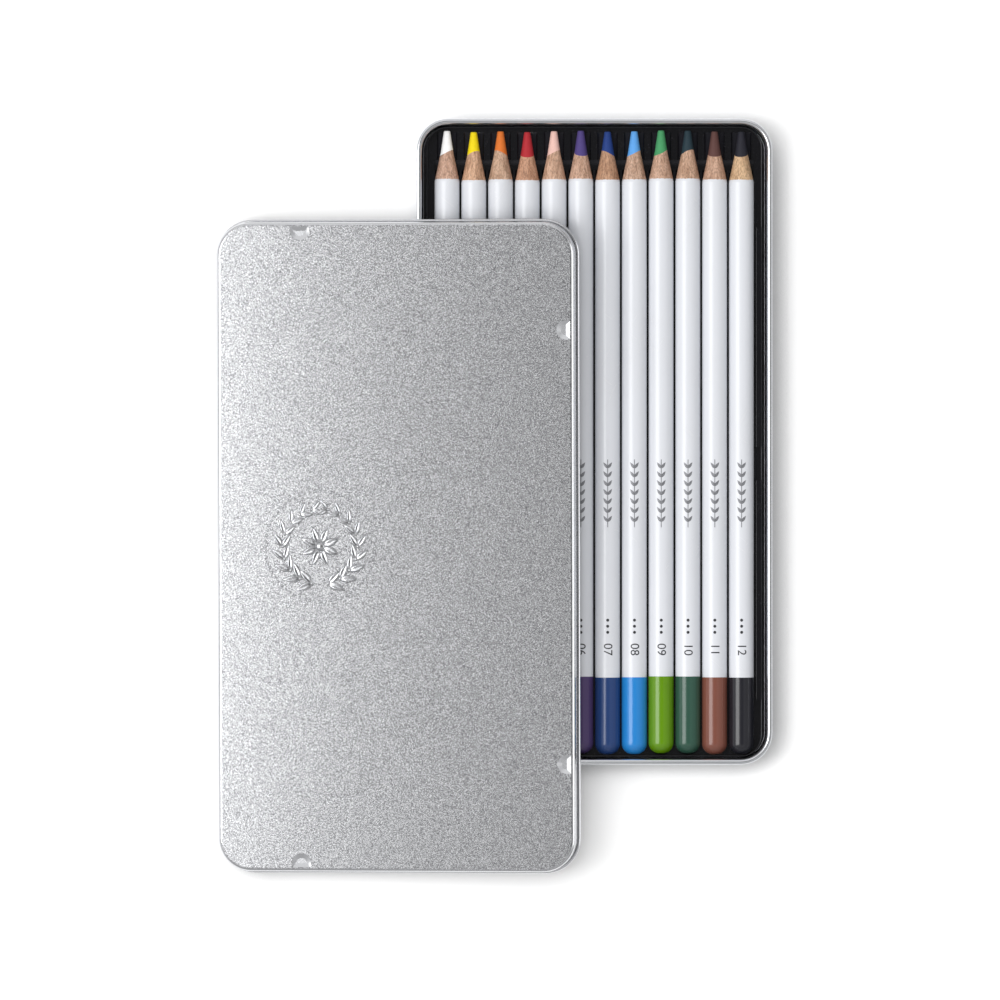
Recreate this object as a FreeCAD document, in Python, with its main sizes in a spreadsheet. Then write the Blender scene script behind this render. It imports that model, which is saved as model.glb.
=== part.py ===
import FreeCAD, Part
import math
import os

import Sketcher
from FreeCAD import Placement, Rotation, Vector

# Colored pencil tin: a drawn pan, a slip-over lid that leans on it, a formed insert and twelve round pencils.
# The origin is the middle of the pan's underside, X across the row of pencils, Y towards the points, Z up.

# Driving sizes in millimetres, and the curl's sweep in degrees
SIZES = {
    "pencil_length": 174.6,
    "pencil_diameter": 7.0,
    "pencil_pitch": 7.5,
    "lacquer_coat": 0.15,
    "dip_build": 0.08,
    "dip_length": 21.6,
    "dip_round": 3.0,
    "dip_cap": 0.3,
    "core_diameter": 3.7,
    "core_drift": 0.16,
    "core_bare_length": 6.4,
    "point_diameter": 1.75,
    "point_round": 0.3,
    "sharpened_length": 14.2,
    "tray_sheet": 0.5,
    "nest_clearance": 0.12,
    "end_clearance": 0.3,
    "point_clearance": 0.9,
    "corner_clearance": 0.2,
    "ridge_drop": 1.5,
    "point_nest_length": 8.8,
    "point_nest_diameter": 8.4,
    "point_nest_depth": 2.6,
    "cross_groove_width": 2.9,
    "cross_groove_drop": 1.5,
    "tray_corner": 6.0,
    "tray_edge_round": 0.4,
    "tray_brim": 0.65,
    "ledge_gap": 0.45,
    "ledge_edge_round": 0.25,
    "ledge_back_margin": 15.65,
    "ledge_front_margin": 27.85,
    "finger_notch": 9.3,
    "notch_centre": -6.1,
    "tray_side_gap": 0.05,
    "tray_end_gap": 0.05,
    "tin_sheet": 0.25,
    "heel_radius": 0.7,
    "tin_height": 10.5,
    "rim_curl": 1.5,
    "curl_sweep": 290.0,
    "lid_clearance": 0.15,
    "lid_height": 8.5,
    "lid_edge_radius": 1.1,
    "hem_curl": 1.05,
    "dimple_mouth": 5.6,
    "dimple_mouth_reach": 1.15,
    "dimple_floor": 3.0,
    "dimple_floor_reach": -0.1,
    "dimple_depth": 0.5,
    "dimple_inset": 2.3,
    "side_dimple_offset": 60.6,
    "end_dimple_offset": -26.8,
    "lid_shift_across": -54.7,
    "lid_shift_along": -29.3,
    "lid_seat_gap": 0.25,
}

# Each pencil's color, the direction, in degrees, in which its core lies off centre, and how far it has slid
# towards its point, as a share of the room behind it
PENCILS = [
    ("white", 200, 0.4),
    ("yellow", 235, -0.7),
    ("orange", 320, 0.0),
    ("red", 90, -0.7),
    ("pink", 205, 0.1),
    ("violet", 75, 0.6),
    ("dark_blue", 330, -0.3),
    ("light_blue", 190, 0.0),
    ("green", 170, 0.8),
    ("dark_green", 225, 0.7),
    ("brown", 90, -0.1),
    ("black", 100, -0.3),
]

doc = FreeCAD.newDocument("pencil_tin")
sheet = doc.addObject("Spreadsheet::Sheet", "dims")
for row, (alias, size) in enumerate(SIZES.items(), start=1):
    sheet.set(f"A{row}", alias)
    sheet.set(f"B{row}", str(size))
    sheet.setAlias(f"B{row}", alias)
doc.recompute()

# Sizes of a pencil, worked out from the driving ones and written as expressions of the sheet
PENCIL_RADIUS = "(dims.pencil_diameter / 2)"
WOOD_RADIUS = f"({PENCIL_RADIUS} - dims.lacquer_coat)"
DIP_RADIUS = f"({PENCIL_RADIUS} + dims.dip_build)"
DIP_ROUND = f"min(dims.dip_round; 0.95 * {DIP_RADIUS})"
CORE_RADIUS = "(dims.core_diameter / 2)"
POINT_RADIUS = "(dims.point_diameter / 2)"
CONE_START = "(dims.pencil_length - dims.sharpened_length)"
CORE_START = "(dims.pencil_length - dims.core_bare_length)"
CONE_TAPER = f"(({CORE_START} - {CONE_START}) / ({PENCIL_RADIUS} - {CORE_RADIUS}))"
WOOD_CONE_START = f"({CONE_START} + dims.lacquer_coat * {CONE_TAPER})"

# Sizes of the insert, which is formed round the pencils
NEST_RADIUS = f"({DIP_RADIUS} + dims.nest_clearance)"
NEST_ROUND = f"({DIP_ROUND} + dims.nest_clearance)"
POINT_NEST_RADIUS = "(dims.point_nest_diameter / 2)"
AXIS_HEIGHT = f"(dims.tin_sheet + dims.tray_sheet + {NEST_RADIUS})"
RIDGE_HEIGHT = f"({AXIS_HEIGHT} - dims.ridge_drop)"
POINT_NEST_HEIGHT = f"({AXIS_HEIGHT} - dims.point_nest_depth + {POINT_NEST_RADIUS})"
GROOVE_HEIGHT = f"({RIDGE_HEIGHT} - dims.cross_groove_drop)"
ROW_HALF = f"({(len(PENCILS) - 1) / 2} * dims.pencil_pitch)"
WELL_CORNER = "(dims.tray_corner - dims.tray_sheet)"
# The insert's wall stands clear of the rounded end of the outermost pencil where it turns the corner
CORNER_SLACK = f"({WELL_CORNER} - {DIP_ROUND})"
SIDE_MARGIN = (
    f"({CORNER_SLACK} - sqrt(({CORNER_SLACK} - dims.corner_clearance)^2"
    f" - ({CORNER_SLACK} - dims.end_clearance)^2))"
)
WELL_HALF_WIDTH = f"({ROW_HALF} + {DIP_RADIUS} + {SIDE_MARGIN})"
WELL_HALF_LENGTH = "((dims.pencil_length + dims.end_clearance + dims.point_clearance) / 2)"
POINT_STEP = f"({WELL_HALF_LENGTH} - dims.point_nest_length)"
# The trough under the outermost point ends where the well's rounded corner would cut into it
POINT_NEST_MOUTH = f"sqrt({POINT_NEST_RADIUS}^2 - ({POINT_NEST_HEIGHT} - {RIDGE_HEIGHT})^2)"
CORNER_REACH = f"({ROW_HALF} + {POINT_NEST_MOUTH} - {WELL_HALF_WIDTH} + {WELL_CORNER})"
POINT_NEST_MARGIN = f"({WELL_CORNER} - sqrt({WELL_CORNER}^2 - {CORNER_REACH}^2) + dims.tray_sheet / 2)"
POINT_NEST_FRONT = f"({WELL_HALF_LENGTH} - {POINT_NEST_MARGIN})"
TRAY_HALF_WIDTH = f"({WELL_HALF_WIDTH} + dims.tray_sheet)"
TRAY_HALF_LENGTH = f"({WELL_HALF_LENGTH} + dims.tray_sheet)"
BRIM_HALF_WIDTH = f"({TRAY_HALF_WIDTH} + dims.tray_brim)"
BRIM_CORNER = "(dims.tray_corner + dims.tray_brim + dims.tin_sheet)"

# Sizes of the pan and of the lid that slips over its rim; the pan's are those of its inside
HEEL_INSIDE = "(dims.heel_radius - dims.tin_sheet)"
PAN_HALF_WIDTH = f"({BRIM_HALF_WIDTH} + dims.tray_side_gap + {HEEL_INSIDE})"
PAN_HALF_LENGTH = f"({TRAY_HALF_LENGTH} + dims.tray_end_gap + {HEEL_INSIDE})"
PAN_CORNER = f"({BRIM_CORNER} + dims.tray_side_gap + {HEEL_INSIDE})"
RIM_HALF_WIDTH = f"({PAN_HALF_WIDTH} + dims.rim_curl)"
RIM_HALF_LENGTH = f"({PAN_HALF_LENGTH} + dims.rim_curl)"
RIM_CORNER = f"({PAN_CORNER} + dims.rim_curl)"
RIM_HEIGHT = "(dims.tin_height - dims.rim_curl / 2)"
LID_HALF_WIDTH = f"({RIM_HALF_WIDTH} + dims.lid_clearance + dims.tin_sheet)"
LID_HALF_LENGTH = f"({RIM_HALF_LENGTH} + dims.lid_clearance + dims.tin_sheet)"
LID_CORNER = f"({RIM_CORNER} + dims.lid_clearance + dims.tin_sheet)"
HEM_REACH = "(dims.hem_curl - dims.tin_sheet)"
HEM_HEIGHT = "(dims.hem_curl / 2)"


def measure(expression):
    result = sheet.evalExpression(expression)
    return float(getattr(result, "Value", result))


def origin_feature(body, role):
    return next(item for item in body.Origin.OriginFeatures if item.Role == role)


def new_sketch(body, name, role, lift="0", across="0", up="0", turn=0):
    sketch = body.newObject("Sketcher::SketchObject", name)
    sketch.AttachmentSupport = [(origin_feature(body, role), "")]
    sketch.MapMode = "FlatFace"
    sketch.AttachmentOffset = Placement(Vector(), Rotation(Vector(0, 0, 1), turn))
    sketch.setExpression("AttachmentOffset.Base.x", across)
    sketch.setExpression("AttachmentOffset.Base.y", up)
    sketch.setExpression("AttachmentOffset.Base.z", lift)
    return sketch


def bind(sketch, kind, *operands):
    # a dimension of the sketch that follows an expression, the last operand
    *places, expression = operands
    index = sketch.addConstraint(Sketcher.Constraint(kind, *places, measure(expression)))
    sketch.setExpression(f"Constraints[{index}]", expression)


def pin(sketch, geometry, point, across, up):
    bind(sketch, "DistanceX", -1, 1, geometry, point, across)
    bind(sketch, "DistanceY", -1, 1, geometry, point, up)


def add_arc(sketch, centre, radius, start, end):
    circle = Part.Circle(centre, Vector(0, 0, 1), radius)
    return sketch.addGeometry(Part.ArcOfCircle(circle, math.radians(start), math.radians(end)), False)


def polar(centre, radius, angle):
    return centre + Vector(math.cos(math.radians(angle)), math.sin(math.radians(angle)), 0) * radius


def outline(sketch, stations):
    # A closed outline, counter-clockwise. A station is a corner (across, up) or a quarter round
    # (across, up, radius, start angle) about its centre; straight lines join them.
    first = sketch.GeometryCount
    count = len(stations)
    entries, exits = [], []
    for across, up, *turn in stations:
        centre = Vector(measure(across), measure(up), 0)
        radius, start = (measure(turn[0]), turn[1]) if turn else (0, 0)
        entries.append(polar(centre, radius, start))
        exits.append(polar(centre, radius, start + 90))
    for index in range(count):
        sketch.addGeometry(Part.LineSegment(exits[index], entries[(index + 1) % count]), False)
    for index, (across, up, *turn) in enumerate(stations):
        line, before = first + index, first + (index - 1) % count
        if turn:
            centre = Vector(measure(across), measure(up), 0)
            bend = add_arc(sketch, centre, measure(turn[0]), turn[1], turn[1] + 90)
            sketch.addConstraint(Sketcher.Constraint("Tangent", before, 2, bend, 1))
            sketch.addConstraint(Sketcher.Constraint("Tangent", bend, 2, line, 1))
            pin(sketch, bend, 3, across, up)
            bind(sketch, "Radius", bend, turn[0])
        else:
            sketch.addConstraint(Sketcher.Constraint("Coincident", line, 1, before, 2))
            pin(sketch, line, 1, across, up)


def rounded_rectangle(sketch, half_width, half_length, corner):
    side = f"({half_width} - {corner})"
    front = f"({half_length} - {corner})"
    outline(sketch, [
        (f"-{side}", f"-{front}", corner, 180),
        (side, f"-{front}", corner, 270),
        (side, front, corner, 0),
        (f"-{side}", front, corner, 90),
    ])


def cut_circle(sketch, radius, reach):
    # a circle about the sketch's origin, cut off straight across at a signed distance from it
    turn = math.degrees(math.acos(measure(f"{reach} / {radius}")))
    bend = add_arc(sketch, Vector(), measure(radius), turn, 360 - turn)
    ends = [polar(Vector(), measure(radius), angle) for angle in (360 - turn, turn)]
    chord = sketch.addGeometry(Part.LineSegment(*ends), False)
    sketch.addConstraint(Sketcher.Constraint("Coincident", bend, 3, -1, 1))
    sketch.addConstraint(Sketcher.Constraint("Coincident", chord, 1, bend, 2))
    sketch.addConstraint(Sketcher.Constraint("Coincident", chord, 2, bend, 1))
    sketch.addConstraint(Sketcher.Constraint("Vertical", chord))
    bind(sketch, "Radius", bend, radius)
    bind(sketch, "DistanceX", -1, 1, chord, 1, reach)


def curl_section(sketch, across, up, diameter, over):
    # The sheet rolled round a hollow, over the top of its wall or under it. The wall lies on the right,
    # where the roll begins.
    centre = Vector(measure(across), measure(up), 0)
    outside = f"({diameter} / 2)"
    inside = f"({diameter} / 2 - dims.tin_sheet)"
    sweep = measure("dims.curl_sweep")
    free_angle = "dims.curl_sweep - 360" if over else "360 - dims.curl_sweep"
    span = (0, sweep) if over else (-sweep, 0)
    arcs = [add_arc(sketch, centre, measure(radius), *span) for radius in (inside, outside)]
    for bend, radius in zip(arcs, (inside, outside)):
        pin(sketch, bend, 3, across, up)
        bind(sketch, "Radius", bend, radius)
    for point, angle in zip((1, 2), span):
        line = sketch.addGeometry(Part.LineSegment(*(polar(centre, measure(radius), angle)
                                                     for radius in (inside, outside))), False)
        for end, bend in zip((1, 2), arcs):
            sketch.addConstraint(Sketcher.Constraint("Coincident", line, end, bend, point))
        if angle == 0:
            sketch.addConstraint(Sketcher.Constraint("Horizontal", line))
        else:
            lean = math.radians(measure(free_angle))
            index = sketch.addConstraint(Sketcher.Constraint("Angle", line, lean))
            sketch.setExpression(f"Constraints[{index}]", free_angle)


def pad(body, name, sketch, length):
    feature = body.newObject("PartDesign::Pad", name)
    feature.Profile = sketch
    feature.setExpression("Length", length)
    doc.recompute()
    return feature


def cut(body, name, sketch, length=None):
    # along the sketch's own direction, right through where no length is given
    feature = body.newObject("PartDesign::Pocket", name)
    feature.Profile = sketch
    feature.Reversed = True
    if length is None:
        feature.Type = "ThroughAll"
    else:
        feature.setExpression("Length", length)
    doc.recompute()
    return feature


def turn_about_length(body, kind, name, sketch, angle=360.0):
    feature = body.newObject(kind, name)
    feature.Profile = sketch
    feature.ReferenceAxis = (sketch, ["V_Axis"])
    feature.Angle = angle
    doc.recompute()
    return feature


def lies_at(box, low, high, height):
    return abs(getattr(box, low) - height) < 1e-6 and abs(getattr(box, high) - height) < 1e-6


def blend(body, kind, name, base, edges, size_name, size):
    feature = body.newObject(kind, name)
    feature.Base = (base, edges)
    feature.setExpression(size_name, size)
    doc.recompute()
    return feature


def edges_at_height(feature, height):
    return [f"Edge{index}" for index, edge in enumerate(feature.Shape.Edges, start=1)
            if lies_at(edge.BoundBox, "ZMin", "ZMax", height)]


def edges_along_side(feature, height, across):
    return [f"Edge{index}" for index, edge in enumerate(feature.Shape.Edges, start=1)
            if lies_at(edge.BoundBox, "ZMin", "ZMax", height)
            and any(lies_at(edge.BoundBox, "XMin", "XMax", side) for side in (-across, across))]


def edges_at_end(feature, along):
    return [f"Edge{index}" for index, edge in enumerate(feature.Shape.Edges, start=1)
            if lies_at(edge.BoundBox, "YMin", "YMax", along)]


def hollow(body, name, base, open_height, wall):
    # the block becomes a skin of one sheet, open at the given height
    faces = [f"Face{index}" for index, face in enumerate(base.Shape.Faces, start=1)
             if lies_at(face.BoundBox, "ZMin", "ZMax", open_height)]
    feature = body.newObject("PartDesign::Thickness", name)
    feature.Base = (base, faces)
    feature.Reversed = True
    feature.setExpression("Value", wall)
    doc.recompute()
    return feature


def rolled_edge(body, name, half_width, half_length, corner, diameter, height, over):
    # a curl swept once round the outline, with its section where the front straight begins
    inset = f"{diameter} / 2"
    path = new_sketch(body, f"{name}_path", "XY_Plane", height)
    rounded_rectangle(path, *(f"({reach} - {inset})" for reach in (half_width, half_length, corner)))
    section = new_sketch(body, f"{name}_section", "YZ_Plane", f"{corner} - {half_width}")
    curl_section(section, f"{inset} - {half_length}", height, diameter, over)
    doc.recompute()
    feature = body.newObject("PartDesign::AdditivePipe", name)
    feature.Profile = section
    feature.Spine = path
    doc.recompute()
    return feature


def row_of(body, name, feature):
    pattern = body.newObject("PartDesign::LinearPattern", name)
    pattern.Originals = [feature]
    pattern.Direction = (origin_feature(body, "X_Axis"), [""])
    pattern.Occurrences = len(PENCILS)
    pattern.setExpression("Length", f"2 * {ROW_HALF}")
    body.Tip = pattern
    doc.recompute()
    return pattern


def make_tin_base():
    body = doc.addObject("PartDesign::Body", "tin_base")
    floor = new_sketch(body, "pan_outline", "XY_Plane")
    rounded_rectangle(floor, f"({PAN_HALF_WIDTH} + dims.tin_sheet)", f"({PAN_HALF_LENGTH} + dims.tin_sheet)",
                      f"({PAN_CORNER} + dims.tin_sheet)")
    block = pad(body, "pan_block", floor, RIM_HEIGHT)
    heel = blend(body, "PartDesign::Fillet", "pan_heel", block, edges_at_height(block, 0), "Radius",
                 "dims.heel_radius")
    hollow(body, "pan_wall", heel, measure(RIM_HEIGHT), "dims.tin_sheet")
    rolled_edge(body, "rim", RIM_HALF_WIDTH, RIM_HALF_LENGTH, RIM_CORNER, "dims.rim_curl", RIM_HEIGHT, True)
    return body


def make_dimple(body, name, across, along, turn):
    # a shallow round dent, cut off straight beside the lid's edge, with the sheet carried round it underneath
    features = []
    for kind, suffix, top, grow in (
        ("PartDesign::AdditiveLoft", "back", "dims.lid_height - dims.tin_sheet", "dims.tin_sheet"),
        ("PartDesign::SubtractiveLoft", "recess", "dims.lid_height", "0"),
    ):
        sections = []
        for level, drop, diameter, reach in (
            ("mouth", "0", "dims.dimple_mouth", "dims.dimple_mouth_reach"),
            ("floor", "dims.dimple_depth", "dims.dimple_floor", "dims.dimple_floor_reach"),
        ):
            sketch = new_sketch(body, f"{name}_{suffix}_{level}", "XY_Plane", f"{top} - {drop}",
                                across, along, turn)
            cut_circle(sketch, f"({diameter} / 2 + {grow})", f"({reach} + {grow})")
            sections.append(sketch)
        doc.recompute()
        loft = body.newObject(kind, f"{name}_{suffix}")
        loft.Profile = sections[0]
        loft.Sections = sections[1:]
        doc.recompute()
        features.append(loft)
    return features


def leaning_place():
    # The hem's lower edge rests at three points: on the pan's left rim, on its front rim and, with its
    # outer corner, on the table. They fix the lid's slopes across and along the pan.
    across, along = measure("dims.lid_shift_across"), measure("dims.lid_shift_along")
    hem_middle = f"{HEM_REACH} - {HEM_HEIGHT}"
    half_width = measure(f"{LID_HALF_WIDTH} + {hem_middle}")
    half_length = measure(f"{LID_HALF_LENGTH} + {hem_middle}")
    corner = measure(f"{LID_CORNER} + {hem_middle}")
    rim_top = measure("dims.tin_height")
    left_seat = (-measure(f"{RIM_HALF_WIDTH} - dims.rim_curl / 2"), along + half_length)
    front_seat = (across + half_width, -measure(f"{RIM_HALF_LENGTH} - dims.rim_curl / 2"))
    slope_across = slope_along = 1.0
    settling_rounds = 40
    for _ in range(settling_rounds):
        steepness = math.hypot(slope_across, slope_along)
        foot = (across - half_width + corner * (1 - slope_across / steepness),
                along - half_length + corner * (1 - slope_along / steepness))
        left_run = (left_seat[0] - foot[0], left_seat[1] - foot[1])
        front_run = (front_seat[0] - foot[0], front_seat[1] - foot[1])
        spread = left_run[0] * front_run[1] - left_run[1] * front_run[0]
        slope_across = rim_top * (front_run[1] - left_run[1]) / spread
        slope_along = rim_top * (left_run[0] - front_run[0]) / spread
    height = slope_across * (across - foot[0]) + slope_along * (along - foot[1])
    lid_x = Vector(1, 0, slope_across).normalize()
    lid_z = Vector(-slope_across, -slope_along, 1).normalize()
    centre = Vector(across, along, height + measure("dims.lid_seat_gap"))
    return Placement(centre, Rotation(lid_x, Vector(), lid_z, "ZXY"))


def make_tin_lid():
    body = doc.addObject("PartDesign::Body", "tin_lid")
    panel = new_sketch(body, "lid_outline", "XY_Plane", HEM_HEIGHT)
    rounded_rectangle(panel, LID_HALF_WIDTH, LID_HALF_LENGTH, LID_CORNER)
    block = pad(body, "lid_block", panel, f"dims.lid_height - {HEM_HEIGHT}")
    edge = blend(body, "PartDesign::Fillet", "lid_edge", block,
                 edges_at_height(block, measure("dims.lid_height")), "Radius", "dims.lid_edge_radius")
    hollow(body, "lid_wall", edge, measure(HEM_HEIGHT), "dims.tin_sheet")
    side_across = f"{LID_HALF_WIDTH} - dims.dimple_inset"
    end_along = f"{LID_HALF_LENGTH} - dims.dimple_inset"
    side = make_dimple(body, "side_dimple", side_across, "dims.side_dimple_offset", 0)
    end = make_dimple(body, "end_dimple", "dims.end_dimple_offset", end_along, 90)
    mirror = body.newObject("PartDesign::Mirrored", "far_dimples")
    mirror.Originals = side + end
    mirror.MirrorPlane = (origin_feature(body, "XZ_Plane"), [""])
    body.Tip = mirror
    doc.recompute()
    rolled_edge(body, "hem", f"({LID_HALF_WIDTH} + {HEM_REACH})", f"({LID_HALF_LENGTH} + {HEM_REACH})",
                f"({LID_CORNER} + {HEM_REACH})", "dims.hem_curl", HEM_HEIGHT, False)
    body.Placement = leaning_place()
    return body


def nest_section(body, name, grow):
    # half section of the room round the first pencil, from its rounded end to the step before its point
    sketch = new_sketch(body, name, "XY_Plane", AXIS_HEIGHT, f"-{ROW_HALF}")
    radius = f"({NEST_RADIUS} + {grow})"
    back_round = f"({NEST_ROUND} + {grow})"
    back = f"(-{WELL_HALF_LENGTH} - {grow})"
    step = f"({POINT_STEP} + {grow})"
    outline(sketch, [
        ("0", back),
        (f"{radius} - {back_round}", f"{back} + {back_round}", back_round, 270),
        (radius, step),
        ("0", step),
    ])
    doc.recompute()
    return sketch


def point_nest_section(body, name, front, radius, mouth_height):
    # the shallow trough under the first pencil's point, up to a level at its mouth
    sketch = new_sketch(body, name, "XZ_Plane", f"-{front}", f"-{ROW_HALF}", POINT_NEST_HEIGHT, 90)
    cut_circle(sketch, radius, f"({mouth_height} - {POINT_NEST_HEIGHT})")
    doc.recompute()
    return sketch


def field_outline(body, name, height, half_width, near, far):
    sketch = new_sketch(body, name, "XY_Plane", height)
    left = f"-{half_width}"
    outline(sketch, [(left, near), (half_width, near), (half_width, far), (left, far)])
    doc.recompute()
    return sketch


def well_outline(body, name, height, grow):
    sketch = new_sketch(body, name, "XY_Plane", height)
    rounded_rectangle(sketch, f"({WELL_HALF_WIDTH} + {grow})", f"({WELL_HALF_LENGTH} + {grow})",
                      f"({WELL_CORNER} + {grow})")
    doc.recompute()
    return sketch


def make_brim(body):
    # the trimmed edge of the sheet, which lies on the pan's floor along both sides
    sketch = new_sketch(body, "brim_outline", "XY_Plane", "dims.tin_sheet")
    inset = "dims.tray_sheet / 2"
    rounded_rectangle(sketch, BRIM_HALF_WIDTH, TRAY_HALF_LENGTH, BRIM_CORNER)
    rounded_rectangle(sketch, f"({TRAY_HALF_WIDTH} - {inset})", f"({TRAY_HALF_LENGTH} - {inset})",
                      f"(dims.tray_corner - {inset})")
    doc.recompute()
    return pad(body, "brim", sketch, "dims.tray_sheet")


def make_ledges(body):
    # two raised ledges along each side of the row, with a finger notch between them
    sketch = new_sketch(body, "ledge_outlines", "XY_Plane", RIDGE_HEIGHT)
    inner = f"({ROW_HALF} + {DIP_RADIUS} + dims.ledge_gap)"
    outer = f"({WELL_HALF_WIDTH} + dims.tray_sheet / 2)"
    back = f"dims.ledge_back_margin - {WELL_HALF_LENGTH}"
    near = "dims.notch_centre - dims.finger_notch / 2"
    far = "dims.notch_centre + dims.finger_notch / 2"
    front = f"{WELL_HALF_LENGTH} - dims.ledge_front_margin"
    for low, high in ((back, near), (far, front)):
        for left, right in ((inner, outer), (f"-{outer}", f"-{inner}")):
            outline(sketch, [(left, low), (right, low), (right, high), (left, high)])
    doc.recompute()
    ledges = pad(body, "ledges", sketch, "dims.ridge_drop")
    edges = edges_along_side(ledges, measure(AXIS_HEIGHT), measure(inner))
    return blend(body, "PartDesign::Fillet", "ledge_edges", ledges, edges, "Radius", "dims.ledge_edge_round")


def make_insert_tray():
    body = doc.addObject("PartDesign::Body", "insert_tray")
    skirt = new_sketch(body, "tray_outline", "XY_Plane", "dims.tin_sheet")
    rounded_rectangle(skirt, TRAY_HALF_WIDTH, TRAY_HALF_LENGTH, "dims.tray_corner")
    block = pad(body, "tray_block", skirt, f"{AXIS_HEIGHT} - dims.tin_sheet")
    hollow(body, "tray_skin", block, measure("dims.tin_sheet"), "dims.tray_sheet")
    make_brim(body)
    back_section = nest_section(body, "nest_back_section", "dims.tray_sheet")
    back = turn_about_length(body, "PartDesign::Revolution", "nest_back", back_section, 180.0)
    row_of(body, "nest_backs", back)
    half_sheet = "dims.tray_sheet / 2"
    trough_length = f"dims.point_nest_length - {POINT_NEST_MARGIN}"
    back_section = point_nest_section(body, "point_nest_back_section",
                                      f"({POINT_NEST_FRONT} + dims.tray_sheet)",
                                      f"({POINT_NEST_RADIUS} + dims.tray_sheet)",
                                      f"({RIDGE_HEIGHT} - {half_sheet})")
    back = pad(body, "point_nest_back", back_section, f"{trough_length} + dims.tray_sheet")
    row_of(body, "point_nest_backs", back)
    groove_back = field_outline(body, "cross_groove_back_outline", f"{GROOVE_HEIGHT} - dims.tray_sheet",
                                f"({ROW_HALF} + {DIP_RADIUS} + dims.tray_sheet)",
                                f"({POINT_STEP} - dims.cross_groove_width - dims.tray_sheet)",
                                f"({POINT_STEP} + dims.tray_sheet)")
    pad(body, "cross_groove_back", groove_back, f"dims.cross_groove_drop + {half_sheet}")
    field = well_outline(body, "well_back_outline", f"{RIDGE_HEIGHT} - dims.tray_sheet", "dims.tray_sheet")
    formed = pad(body, "well_back", field, "dims.ridge_drop + dims.tray_sheet")
    edges = edges_at_height(formed, measure(AXIS_HEIGHT))
    blend(body, "PartDesign::Fillet", "tray_edge", formed, edges, "Radius", "dims.tray_edge_round")
    cut(body, "well", well_outline(body, "well_outline", RIDGE_HEIGHT, "0"))
    make_ledges(body)
    groove = field_outline(body, "cross_groove_outline", GROOVE_HEIGHT, f"({ROW_HALF} + {DIP_RADIUS})",
                           f"({POINT_STEP} - dims.cross_groove_width)", POINT_STEP)
    cut(body, "cross_groove", groove)
    trough = point_nest_section(body, "point_nest_section", POINT_NEST_FRONT, POINT_NEST_RADIUS,
                                f"({RIDGE_HEIGHT} + {half_sheet})")
    row_of(body, "point_nests", cut(body, "point_nest", trough, trough_length))
    nest = turn_about_length(body, "PartDesign::Groove", "nest", nest_section(body, "nest_section", "0"))
    row_of(body, "nests", nest)
    return body


def turned_form(name, stations):
    body = doc.addObject("PartDesign::Body", name)
    sketch = new_sketch(body, f"{name}_section", "XY_Plane")
    outline(sketch, stations)
    doc.recompute()
    return body, turn_about_length(body, "PartDesign::Revolution", f"{name}_turned", sketch)


def make_pencil_forms():
    # A pencil along Y with its dipped end at zero: the sharpened wood, the white coat and the dip, each as
    # a full form
    length = "dims.pencil_length"
    wood, turned_wood = turned_form("wood_form", [
        ("0", "dims.dip_cap"),
        (WOOD_RADIUS, "dims.dip_cap"),
        (WOOD_RADIUS, WOOD_CONE_START),
        (CORE_RADIUS, CORE_START),
        (POINT_RADIUS, length),
        ("0", length),
    ])
    edges = edges_at_end(turned_wood, measure("dims.dip_cap"))
    wood_end = blend(wood, "PartDesign::Chamfer", "wood_end", turned_wood, edges, "Size",
                     f"{DIP_ROUND} - 2 * dims.dip_cap")
    edges = edges_at_end(wood_end, measure(length))
    blend(wood, "PartDesign::Fillet", "point_end", wood_end, edges, "Radius", "dims.point_round")
    coat, _ = turned_form("coat_form", [
        ("0", "dims.dip_length"),
        (PENCIL_RADIUS, "dims.dip_length"),
        (PENCIL_RADIUS, CONE_START),
        (WOOD_RADIUS, WOOD_CONE_START),
        ("0", WOOD_CONE_START),
    ])
    dip, turned_dip = turned_form("dip_form", [
        ("0", "0"),
        (DIP_RADIUS, "0"),
        (DIP_RADIUS, "dims.dip_length"),
        ("0", "dims.dip_length"),
    ])
    blend(dip, "PartDesign::Fillet", "dip_end", turned_dip, edges_at_end(turned_dip, 0), "Radius", DIP_ROUND)
    return wood, coat, dip


def make_pencil(index, color, drift, slide, forms):
    wood, coat, dip = forms
    rod = doc.addObject("Part::Cylinder", f"{color}_core_rod")
    rod.Placement = Placement(Vector(), Rotation(Vector(1, 0, 0), -90))
    rod.setExpression("Radius", CORE_RADIUS)
    rod.setExpression("Height", "dims.pencil_length - dims.dip_cap")
    rod.setExpression(".Placement.Base.x", f"dims.core_drift * cos({drift})")
    rod.setExpression(".Placement.Base.y", "dims.dip_cap")
    rod.setExpression(".Placement.Base.z", f"dims.core_drift * sin({drift})")
    pieces = []
    for kind, piece, base, tool in (
        ("Part::Cut", "casing", wood, rod),
        ("Part::Common", "core", rod, wood),
        ("Part::Cut", "lacquer", coat, wood),
        ("Part::Cut", "dip", dip, wood),
    ):
        feature = doc.addObject(kind, f"{color}_pencil_{piece}")
        feature.Base = base
        feature.Tool = tool
        feature.setExpression(".Placement.Base.x", f"{index} * dims.pencil_pitch - {ROW_HALF}")
        feature.setExpression(".Placement.Base.y", f"dims.end_clearance * (1 + {slide}) - {WELL_HALF_LENGTH}")
        feature.setExpression(".Placement.Base.z", AXIS_HEIGHT)
        pieces.append(feature)
    return pieces


nodes = [make_tin_base(), make_tin_lid(), make_insert_tray()]
pencil_forms = make_pencil_forms()
for index, (color, drift, slide) in enumerate(PENCILS):
    nodes += make_pencil(index, color, drift, slide, pencil_forms)
doc.recompute()

failed = [item.Label for item in doc.Objects if {"Invalid", "Error"} & set(item.State)]
failed += [node.Label for node in nodes if node.Shape.isNull() or not node.Shape.isValid()]
if failed:
    raise RuntimeError(f"not built: {failed}")

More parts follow.
